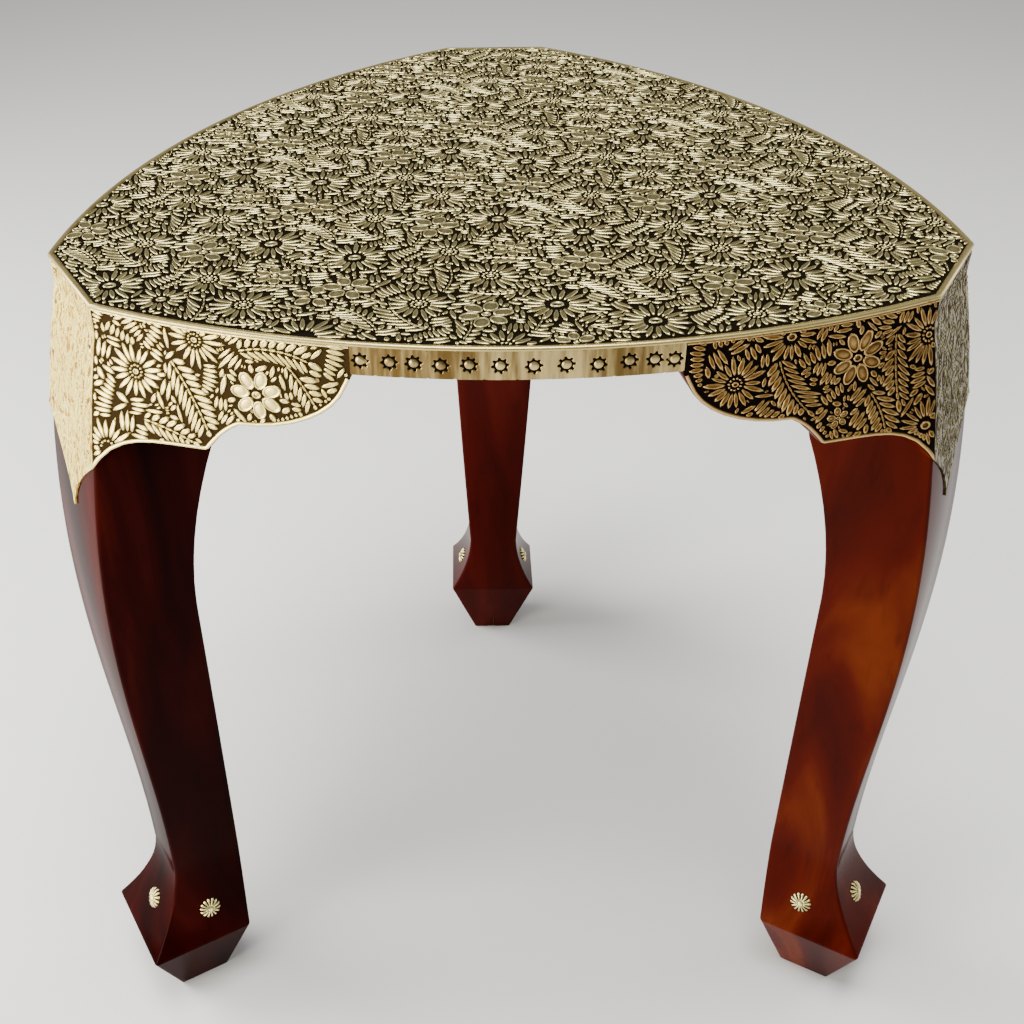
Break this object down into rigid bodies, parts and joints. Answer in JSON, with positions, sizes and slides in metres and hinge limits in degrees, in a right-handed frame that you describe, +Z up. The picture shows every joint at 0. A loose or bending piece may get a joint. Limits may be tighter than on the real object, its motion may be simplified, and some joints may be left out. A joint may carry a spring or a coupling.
{
  "type": "three-legged accent stool",
  "caption": "Low stool with a bowed triangular top and carved wooden legs, its top and corners clad in embossed brass sheet.",
  "frame": {"origin": "on the floor, under the middle of the whole stool's box", "axes": "+Z up; the front side, between the left and right legs, faces -Y; the back leg is on +Y"},
  "size_m": [0.4646, 0.4252, 0.457],
  "materials": {
    "brass_top": "embossed, dark patina in the recesses",
    "brass_band": "stamped, satin",
    "brass_ear": "embossed, dark patina in the recesses",
    "brass_strip": "chased with fine dashes, satin",
    "brass_stud": "polished",
    "brass_pin": "satin",
    "leg_wood": "dark red-brown, glossy lacquer",
    "ear_wood": "dark red-brown, lacquered",
    "board_wood": "dark stained",
    "dowel_wood": "plain",
    "screw_steel": "zinc plated"
  },
  "bodies": {
    "root": {"top_board": "board_wood", "top_sheet": "brass_top", "edge_band_front": "brass_band", "edge_band_left": "brass_band", "edge_band_right": "brass_band", "leg_back": "leg_wood", "leg_left": "leg_wood", "leg_right": "leg_wood", "ear_back_left": "ear_wood", "ear_back_right": "ear_wood", "ear_left_front": "ear_wood", "ear_left_back": "ear_wood", "ear_right_back": "ear_wood", "ear_right_front": "ear_wood", "ear_sheet_back_left": "brass_ear", "ear_sheet_back_right": "brass_ear", "ear_sheet_left_front": "brass_ear", "ear_sheet_left_back": "brass_ear", "ear_sheet_right_back": "brass_ear", "ear_sheet_right_front": "brass_ear", "corner_strip_back": "brass_strip", "corner_strip_left": "brass_strip", "corner_strip_right": "brass_strip", "leg_screws": "screw_steel", "ear_screws": "screw_steel", "ear_dowels": "dowel_wood", "foot_studs": "brass_stud", "corner_pins": "brass_pin", "ear_pins": "brass_pin", "band_pins": "brass_pin"}
  },
  "joints": []
}
